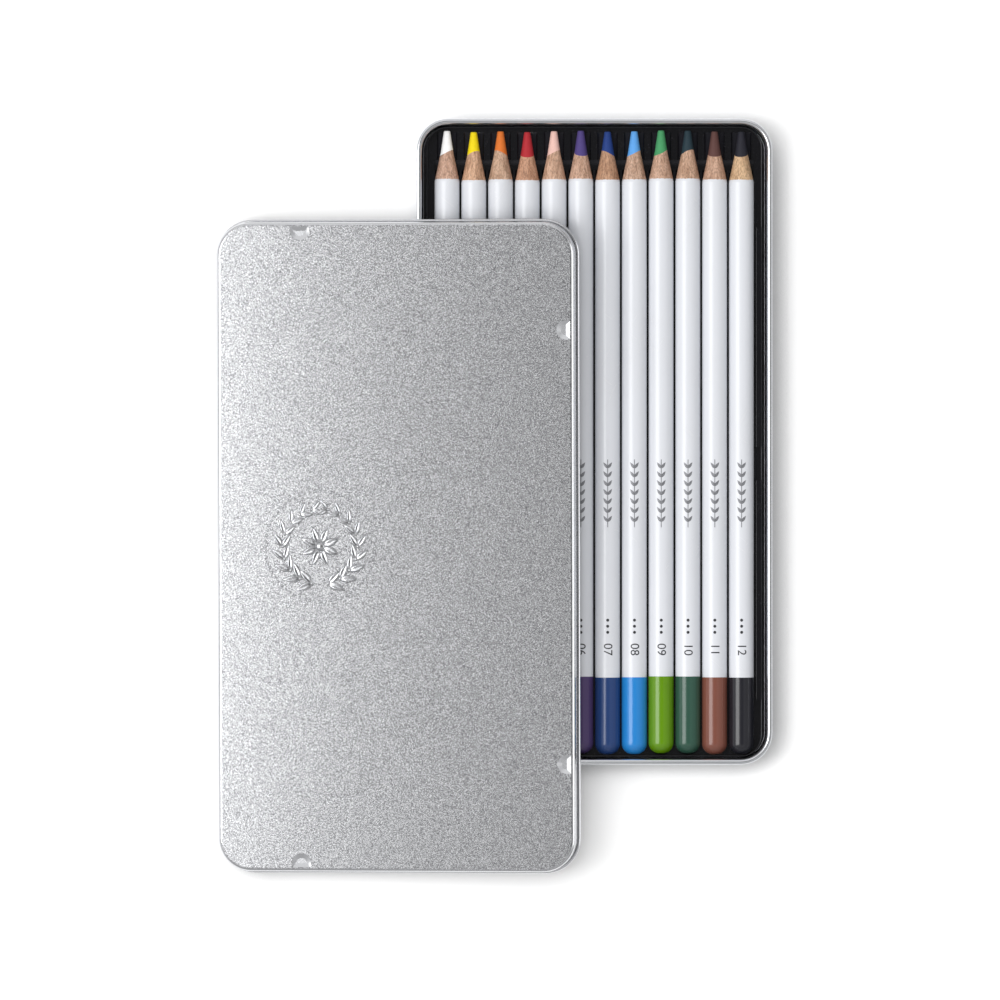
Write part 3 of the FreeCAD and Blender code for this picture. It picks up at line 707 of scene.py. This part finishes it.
lidOrnament = {
    "place": (-21.2 * mm, 0.2 * mm),      # on the panel, from its middle
    "wreathRadius": 10.6 * mm,
    "leafPairs": 9,
    "leafLength": 4.9 * mm,
    "leafWidth": 2.0 * mm,
    "leafSpread": 0.6,                    # radians off the branch
    "footSize": 1.05,                     # leaves get smaller from the branch's foot to its tip
    "tipLoss": 0.3,
    "branchGap": 0.22,                    # radians left open at the bottom and the top
    "knotRadius": 0.6 * mm,
    "knotFlatness": 0.55,
    "petals": 8,
    "petalLength": 4.6 * mm,
    "petalWidth": 2.2 * mm,
    "petalStart": 0.24,                   # share of a petal's length left open in the middle
    "firstPetal": math.pi / 8,
    "bossRadius": 1.25 * mm,
    "bossFlatness": 0.36,
    "bossFacets": (20, 10),               # round and up
    "relief": 0.3 * mm,
    "sink": 0.15 * mm,                    # how far leaves and petals reach into the panel
    "beads": 64,
    "beadRadius": 0.42 * mm,
    "beadFlatness": 0.6,
    "beadRing": 15.4 * mm,
}


def growBranch(tree, given):
    spec = lidOrnament
    leaf = leafForm(tree, given["Leaf Length"], given["Leaf Width"], given["Relief"], given["Sink"])
    start = mathStep(tree, "ADD", given["Branch Gap"], -math.pi / 2)
    sweep = mathStep(tree, "MULTIPLY_ADD", given["Branch Gap"], -2.0, math.pi)
    branch, angle, share = arcPoints(tree, given["Leaf Pairs"], given["Wreath Radius"], start, sweep)
    size = mathStep(tree, "MULTIPLY_ADD", share, -spec["tipLoss"], spec["footSize"])
    ahead = mathStep(tree, "ADD", angle, math.pi / 2)
    outward = placeOn(tree, branch, leaf, mathStep(tree, "SUBTRACT", ahead, given["Leaf Spread"]), size)
    inward = placeOn(tree, branch, leaf, mathStep(tree, "ADD", ahead, given["Leaf Spread"]), size)
    knots = placeOn(tree, branch, flatBall(tree, given["Knot Radius"], spec["knotFlatness"]), 0.0, size)
    return geometryStep(tree, "RealizeInstances", Geometry=joinGeometry(tree, [outward, inward, knots]))


def buildOrnamentTree():
    spec = lidOrnament
    tree, given, result, sockets = newGeometryTree("pressedWreath", {
        "Float": (
            "Wreath Radius", "Leaf Length", "Leaf Width", "Leaf Spread", "Branch Gap", "Knot Radius",
            "Petal Length", "Petal Width", "Boss Radius", "Relief", "Sink", "Bead Radius", "Bead Ring",
        ),
        "Int": ("Leaf Pairs", "Petals", "Beads"),
        "Material": ("Metal",),
    })
    right = growBranch(tree, given)
    mirrored = geometryStep(tree, "Transform", Geometry=right, Scale=(-1.0, 1.0, 1.0))
    left = geometryStep(tree, "FlipFaces", Mesh=mirrored)
    petal = leafForm(tree, given["Petal Length"], given["Petal Width"], given["Relief"], given["Sink"])
    petalRing = mathStep(tree, "MULTIPLY", given["Petal Length"], spec["petalStart"])
    petalSweep = ringSweep(tree, given["Petals"])
    flower, petalAngle, _ = arcPoints(tree, given["Petals"], petalRing, spec["firstPetal"], petalSweep)
    petals = placeOn(tree, flower, petal, petalAngle)
    boss = flatBall(tree, given["Boss Radius"], spec["bossFlatness"], *spec["bossFacets"])
    bead = flatBall(tree, given["Bead Radius"], spec["beadFlatness"])
    border, _, _ = arcPoints(tree, given["Beads"], given["Bead Ring"], 0.0, ringSweep(tree, given["Beads"]))
    beads = placeOn(tree, border, bead, 0.0)
    whole = joinGeometry(tree, [right, left, petals, boss, beads])
    solid = geometryStep(tree, "RealizeInstances", Geometry=whole)
    smooth = geometryStep(tree, "SetShadeSmooth", Geometry=solid)
    tree.links.new(geometryStep(tree, "SetMaterial", Geometry=smooth, Material=given["Metal"]), result)
    return tree, sockets


def makeLidOrnament():
    spec = lidOrnament
    tree, sockets = buildOrnamentTree()
    piece = growPiece("lid_wreath", tree, sockets, {**byLabel(spec, sockets), "Metal": pressedTin})
    spot = lidCentre + lidTurn @ Vector((*spec["place"], 0.0))
    piece.data.transform(Matrix.Translation(spot) @ lidTurn.to_4x4())
    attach(piece, "lid")
    print("lid wreath:", len(piece.data.polygons), "faces")


makeLidOrnament()

pencilMarks = {
    "numberSize": 3.5 * mm,
    "numberPlace": -58.2 * mm,            # middle of the number along the pencil
    "numberCuts": 3,                      # the flat number is cut this often, so that it bends smoothly
    "dotPlace": -53.4 * mm,
    "dotStep": 1.7 * mm,
    "dotRadius": 0.42 * mm,
    "dotSides": 16,
    "dots": 3,
    "sprigPlace": -14.5 * mm,
    "sprigLength": 19.0 * mm,
    "leafPairs": 7,
    "leafSpan": 0.92,                     # shares of the sprig's length: the leaves' stretch
    "leafStart": -0.42,                   # and the first pair, from the sprig's middle
    "leafLength": 2.1 * mm,
    "leafWidth": 0.78 * mm,
    "leafSpread": 0.62,                   # radians off the stem
    "leafBelly": 0.8,                     # under 1, the widest place is nearer the foot
    "leafTip": 0.03,                      # share of the width left at both ends
    "leafPoints": (9, 5),                 # along and across
    "stemWidth": 0.22 * mm,
    "stemRows": 24,
    "lift": 0.008 * mm,                   # over the lacquer
    "film": 0.014 * mm,                   # thickness of the print
    "weld": 0.0001 * mm,                  # points closer than this become one
}


def flatLeaf(tree, length, width):
    spec = pencilMarks
    rows, columns = spec["leafPoints"]
    sheet = geometryStep(tree, "MeshGrid", Size_X=1.0, Size_Y=2.0, Vertices_X=rows, Vertices_Y=columns)
    x, y, _ = splitVector(tree, geometryStep(tree, "InputPosition"))
    along = mathStep(tree, "ADD", x, 0.5)
    leaned = mathStep(tree, "POWER", along, spec["leafBelly"])
    bow = mathStep(tree, "SINE", mathStep(tree, "MULTIPLY", leaned, math.pi))
    halfWidth = mathStep(tree, "DIVIDE", width, 2.0)
    half = mathStep(tree, "MULTIPLY", mathStep(tree, "MAXIMUM", bow, spec["leafTip"]), halfWidth)
    outX = mathStep(tree, "MULTIPLY", along, length)
    outY = mathStep(tree, "MULTIPLY", y, half)
    return setPosition(tree, sheet, joinVector(tree, outX, outY, 0.0))


def filmOf(tree, flat, thickness):
    under = geometryStep(tree, "FlipFaces", Mesh=flat)
    over = geometryStep(tree, "ExtrudeMesh", Mesh=flat, Offset_Scale=thickness, Individual=False)
    both = joinGeometry(tree, [under, over])
    return geometryStep(tree, "MergeByDistance", Geometry=both, Distance=pencilMarks["weld"])


def rowAlong(tree, count, start, step):
    return geometryStep(tree, "MeshLine", Count=count, Start_Location=joinVector(tree, 0.0, start, 0.0),
                        Offset=joinVector(tree, 0.0, step, 0.0))


def numberAndDots(tree, given):
    spec = pencilMarks
    letters = addNode(tree, "GeometryNodeStringToCurves", {"align_x": "CENTER", "align_y": "MIDDLE"},
                      String=given["Number"], Size=given["Number Size"])
    letters.font = bpy.data.curves.new("numerals", "FONT").font
    filled = geometryStep(tree, "FillCurve", Curve=letters.outputs[0])
    solid = geometryStep(tree, "RealizeInstances", Geometry=filled)
    fine = geometryStep(tree, "SubdivideMesh", Mesh=solid, Level=spec["numberCuts"])
    number = geometryStep(tree, "Transform", Geometry=fine, Rotation=(0.0, 0.0, -math.pi / 2),
                          Translation=joinVector(tree, 0.0, given["Number Place"], 0.0))
    row = rowAlong(tree, given["Dots"], given["Dot Place"], given["Dot Step"])
    dot = geometryStep(tree, "MeshCircle", {"fill_type": "TRIANGLE_FAN"}, Vertices=spec["dotSides"],
                       Radius=given["Dot Radius"])
    dots = geometryStep(tree, "RealizeInstances", Geometry=placeOn(tree, row, dot, 0.0))
    return joinGeometry(tree, [number, dots])


def sprig(tree, given):
    spec = pencilMarks
    strip = geometryStep(tree, "MeshGrid", Size_X=given["Stem Width"], Size_Y=given["Sprig Length"],
                         Vertices_X=2, Vertices_Y=spec["stemRows"])
    stem = geometryStep(tree, "Transform", Geometry=strip,
                        Translation=joinVector(tree, 0.0, given["Sprig Place"], 0.0))
    leaf = flatLeaf(tree, given["Leaf Length"], given["Leaf Width"])
    stretch = mathStep(tree, "MULTIPLY", given["Sprig Length"], spec["leafSpan"])
    step = mathStep(tree, "DIVIDE", stretch, given["Leaf Pairs"])
    first = mathStep(tree, "MULTIPLY_ADD", given["Sprig Length"], spec["leafStart"], given["Sprig Place"])
    row = rowAlong(tree, given["Leaf Pairs"], first, step)
    leftTurn = mathStep(tree, "ADD", given["Leaf Spread"], math.pi / 2)
    rightTurn = mathStep(tree, "SUBTRACT", math.pi / 2, given["Leaf Spread"])
    pairs = joinGeometry(tree, [placeOn(tree, row, leaf, leftTurn), placeOn(tree, row, leaf, rightTurn)])
    leaves = geometryStep(tree, "RealizeInstances", Geometry=pairs)
    return joinGeometry(tree, [stem, leaves])


# bends a flat mark round the pencil's axis
def wrapRound(tree, flat, radius, axis):
    x, y, z = splitVector(tree, geometryStep(tree, "InputPosition"))
    axisX, _, axisZ = splitVector(tree, axis)
    bend = mathStep(tree, "DIVIDE", x, radius)
    reach = mathStep(tree, "ADD", radius, z)
    outX = mathStep(tree, "MULTIPLY_ADD", mathStep(tree, "SINE", bend), reach, axisX)
    outZ = mathStep(tree, "MULTIPLY_ADD", mathStep(tree, "COSINE", bend), reach, axisZ)
    return setPosition(tree, flat, joinVector(tree, outX, y, outZ))


def buildMarksTree():
    tree, given, result, sockets = newGeometryTree("pencilMarks", {
        "String": ("Number",),
        "Float": (
            "Number Size", "Number Place", "Dot Place", "Dot Step", "Dot Radius", "Sprig Place",
            "Sprig Length", "Leaf Length", "Leaf Width", "Leaf Spread", "Stem Width", "Film", "Radius",
        ),
        "Int": ("Dots", "Leaf Pairs"),
        "Vector": ("Axis",),
        "Material": ("Ink", "Foil"),
    })
    inked = filmOf(tree, numberAndDots(tree, given), given["Film"])
    inked = geometryStep(tree, "SetMaterial", Geometry=inked, Material=given["Ink"])
    foiled = filmOf(tree, sprig(tree, given), given["Film"])
    foiled = geometryStep(tree, "SetMaterial", Geometry=foiled, Material=given["Foil"])
    both = geometryStep(tree, "RealizeInstances", Geometry=joinGeometry(tree, [inked, foiled]))
    tree.links.new(wrapRound(tree, both, given["Radius"], given["Axis"]), result)
    return tree, sockets


def makePencilMarks():
    spec = pencilMarks
    tree, sockets = buildMarksTree()
    for count, color in enumerate(pencilColors, 1):
        low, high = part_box(color + "_pencil_lacquer")
        piece = growPiece(color + "_pencil_marks", tree, sockets, {
            **byLabel(spec, sockets),
            "Number": f"{count:02d}",
            "Radius": (high.x - low.x) / 2 + spec["lift"],
            "Axis": tuple((low + high) / 2),
            "Ink": printInk,
            "Foil": silverFoil,
        })
        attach(piece, color + "_pencil")
    print("marks made for", len(pencilColors), "pencils")


makePencilMarks()

studio = {
    "viewCentre": (-26.4 * mm, -16.35 * mm),
    "frameWidth": 280.0 * mm,
    "frameHeight": 8.0 * mm,              # the level at which the frame has that width
    "cameraDistance": 2.8,
    "clipEnd": 100.0,
    "sensor": 36.0,
    "keyAngle": 33.0,                     # degrees left of straight up
    "keyDistance": 0.95,
    "keyWidth": 0.55,
    "keyLength": 0.44,
    "keyForward": -0.03,
    "keyRadiance": 4.6,
    "lidKeyAngle": 35.0,                  # the lid has a softbox of its own, a little lower
    "lidKeyRadiance": 3.5,
    "fillHeight": 1.2,                    # a soft fill from above, for the matte surfaces only
    "fillSize": 0.7,
    "fillRadiance": 2.6,
    "stripAngle": 56.0,                   # degrees right, a reflector for the lid's own edge
    "stripDistance": 0.9,
    "stripWidth": 0.75,
    "stripLength": 0.7,
    "stripRadiance": 1.35,
    "floorSize": 9.0,
    "floorDrop": 0.03 * mm,               # the floor lies this far under the pan
    "floorBounce": (240, 240, 240),       # what the floor gives back to the object
    "floorSeen": 1.08,                    # what the camera sees of it, white where no shadow falls
    "contactReach": 9.0 * mm,             # a painted shadow at the foot, on the side away from the key
    "contactLean": (-0.62, 0.42, 0.66),   # the direction in which it looks for the object
    "contactRange": (0.15, 0.85),
    "contactShade": 0.36,
    "contactSamples": 8,
}


def makeCamera():
    spec = studio
    data = bpy.data.cameras.new("topCamera")
    data.sensor_width = spec["sensor"]
    data.lens = spec["sensor"] * spec["cameraDistance"] / spec["frameWidth"]
    data.clip_end = spec["clipEnd"]
    camera = bpy.data.objects.new("topCamera", data)
    camera.location = (*spec["viewCentre"], spec["frameHeight"] + spec["cameraDistance"])
    bpy.context.scene.collection.objects.link(camera)
    bpy.context.scene.camera = camera


def addLamp(name, angle, distance, width, length, radiance, forward=0.0):
    data = bpy.data.lights.new(name, "AREA")
    data.shape = "RECTANGLE"
    data.size = width
    data.size_y = length
    data.energy = math.pi * radiance * width * length
    lamp = bpy.data.objects.new(name, data)
    tilt = math.radians(angle)
    centre = Vector((*studio["viewCentre"], 0.0)) + Vector((0.0, forward, 0.0))
    lamp.location = centre + distance * Vector((-math.sin(tilt), 0.0, math.cos(tilt)))
    lamp.rotation_euler = (0.0, -tilt, 0.0)
    lamp.visible_camera = False
    bpy.context.scene.collection.objects.link(lamp)
    return lamp


def makeLamps():
    spec = studio
    box = (spec["keyDistance"], spec["keyWidth"], spec["keyLength"])
    key = addLamp("keySoftbox", spec["keyAngle"], *box, spec["keyRadiance"], spec["keyForward"])
    lidKey = addLamp("lidSoftbox", spec["lidKeyAngle"], *box, spec["lidKeyRadiance"], spec["keyForward"])
    fill = addLamp("overheadFill", 0.0, spec["fillHeight"], spec["fillSize"], spec["fillSize"],
                   spec["fillRadiance"])
    fill.visible_glossy = False
    strip = addLamp("lidStrip", -spec["stripAngle"], spec["stripDistance"], spec["stripWidth"],
                    spec["stripLength"], spec["stripRadiance"])
    lidOnly = bpy.data.collections.new("lidOnly")
    allButLid = bpy.data.collections.new("allButLid")     # holds what its lamp leaves out
    for name in ("tin_lid", "lid_wreath"):
        lidOnly.objects.link(bpy.data.objects[name])
        allButLid.objects.link(bpy.data.objects[name])
    for member in allButLid.collection_objects:
        member.light_linking.link_state = "EXCLUDE"
    lidKey.light_linking.receiver_collection = lidOnly
    strip.light_linking.receiver_collection = lidOnly
    key.light_linking.receiver_collection = allButLid


# brightness of the room by direction, on a unit sphere; a patch of the ceiling is dark
roomLight = {
    "horizon": 0.6,
    "ring": 0.92,                         # the level at ringHeight and above
    "ringHeight": 0.6,
    "left": 0.85,                         # shares of those levels, each with the stretch where it fades in
    "leftSpan": (-0.95, -0.6),
    "right": 0.5,
    "rightSpan": (0.1, 0.6),
    "front": 0.55,
    "frontSpan": (-0.8, 0.0),
    "ceiling": 0.14,
    "ceilingLean": 4.0,                   # degrees right of straight up
    "ceilingStart": 20.0,                 # degrees from the patch's middle
    "ceilingFull": 10.0,
}


def makeRoom():
    spec = roomLight
    world = bpy.data.worlds.new("paleRoom")
    world.use_nodes = True
    tree = world.node_tree
    bpy.context.scene.world = world
    x, y, z = splitVector(tree, tree.nodes.new("ShaderNodeTexCoord").outputs["Generated"])
    walls = remap(tree, z, 0.0, spec["ringHeight"], spec["horizon"], spec["ring"], smooth=True)
    left = remap(tree, x, *spec["leftSpan"], spec["left"], 1.0, smooth=True)
    right = remap(tree, x, *spec["rightSpan"], 1.0, spec["right"], smooth=True)
    front = remap(tree, y, *spec["frontSpan"], spec["front"], 1.0, smooth=True)
    sides = mathStep(tree, "MINIMUM", mathStep(tree, "MINIMUM", left, right), front)
    walls = mathStep(tree, "MULTIPLY", walls, sides)
    lean = math.radians(spec["ceilingLean"])
    sideways = mathStep(tree, "MULTIPLY", x, math.sin(lean))
    upward = mathStep(tree, "MULTIPLY_ADD", z, math.cos(lean), sideways)
    edge, middle = (math.cos(math.radians(spec[name])) for name in ("ceilingStart", "ceilingFull"))
    above = remap(tree, upward, edge, middle, smooth=True)
    kept = mathStep(tree, "MULTIPLY", walls, mathStep(tree, "SUBTRACT", 1.0, above))
    background = tree.nodes["Background"].inputs
    background["Color"].default_value = pureWhite
    tree.links.new(mathStep(tree, "MULTIPLY_ADD", above, spec["ceiling"], kept), background["Strength"])


def makeFloorMaterial():
    spec = studio
    material = bpy.data.materials.new("paleFloor")
    material.use_nodes = True
    tree = material.node_tree
    tree.nodes.remove(tree.nodes["Principled BSDF"])
    rays = tree.nodes.new("ShaderNodeLightPath").outputs
    seen = mathStep(tree, "MAXIMUM", rays["Is Camera Ray"], rays["Is Glossy Ray"])
    seen = mathStep(tree, "MAXIMUM", seen, rays["Is Transmission Ray"])
    # painted shadow: an occlusion lookup darkens the floor's colour at the object's foot
    lean = joinVector(tree, *spec["contactLean"])
    contact = addNode(tree, "ShaderNodeAmbientOcclusion", {"samples": spec["contactSamples"]},
                      Distance=spec["contactReach"], Normal=lean).outputs["AO"]
    darkest = spec["contactShade"] * spec["floorSeen"]
    shade = remap(tree, contact, *spec["contactRange"], darkest, spec["floorSeen"])
    color = blendColor(tree, seen, displayColor(*spec["floorBounce"]), joinVector(tree, shade, shade, shade))
    matte = addNode(tree, "ShaderNodeBsdfDiffuse", Color=color).outputs[0]
    tree.links.new(matte, tree.nodes["Material Output"].inputs["Surface"])
    return material


def makeFloor():
    spec = studio
    half = spec["floorSize"] / 2
    x, y = spec["viewCentre"]
    mesh = bpy.data.meshes.new("paleFloor")
    turns = ((-half, -half), (half, -half), (half, half), (-half, half))
    corners = [(x + across, y + along, -spec["floorDrop"]) for across, along in turns]
    mesh.from_pydata(corners, [], [(0, 1, 2, 3)])
    mesh.materials.append(makeFloorMaterial())
    floor = bpy.data.objects.new("paleFloor", mesh)
    bpy.context.scene.collection.objects.link(floor)


makeCamera()
makeLamps()
makeRoom()
makeFloor()
bpy.context.scene.view_settings.view_transform = "Standard"
print("studio set")
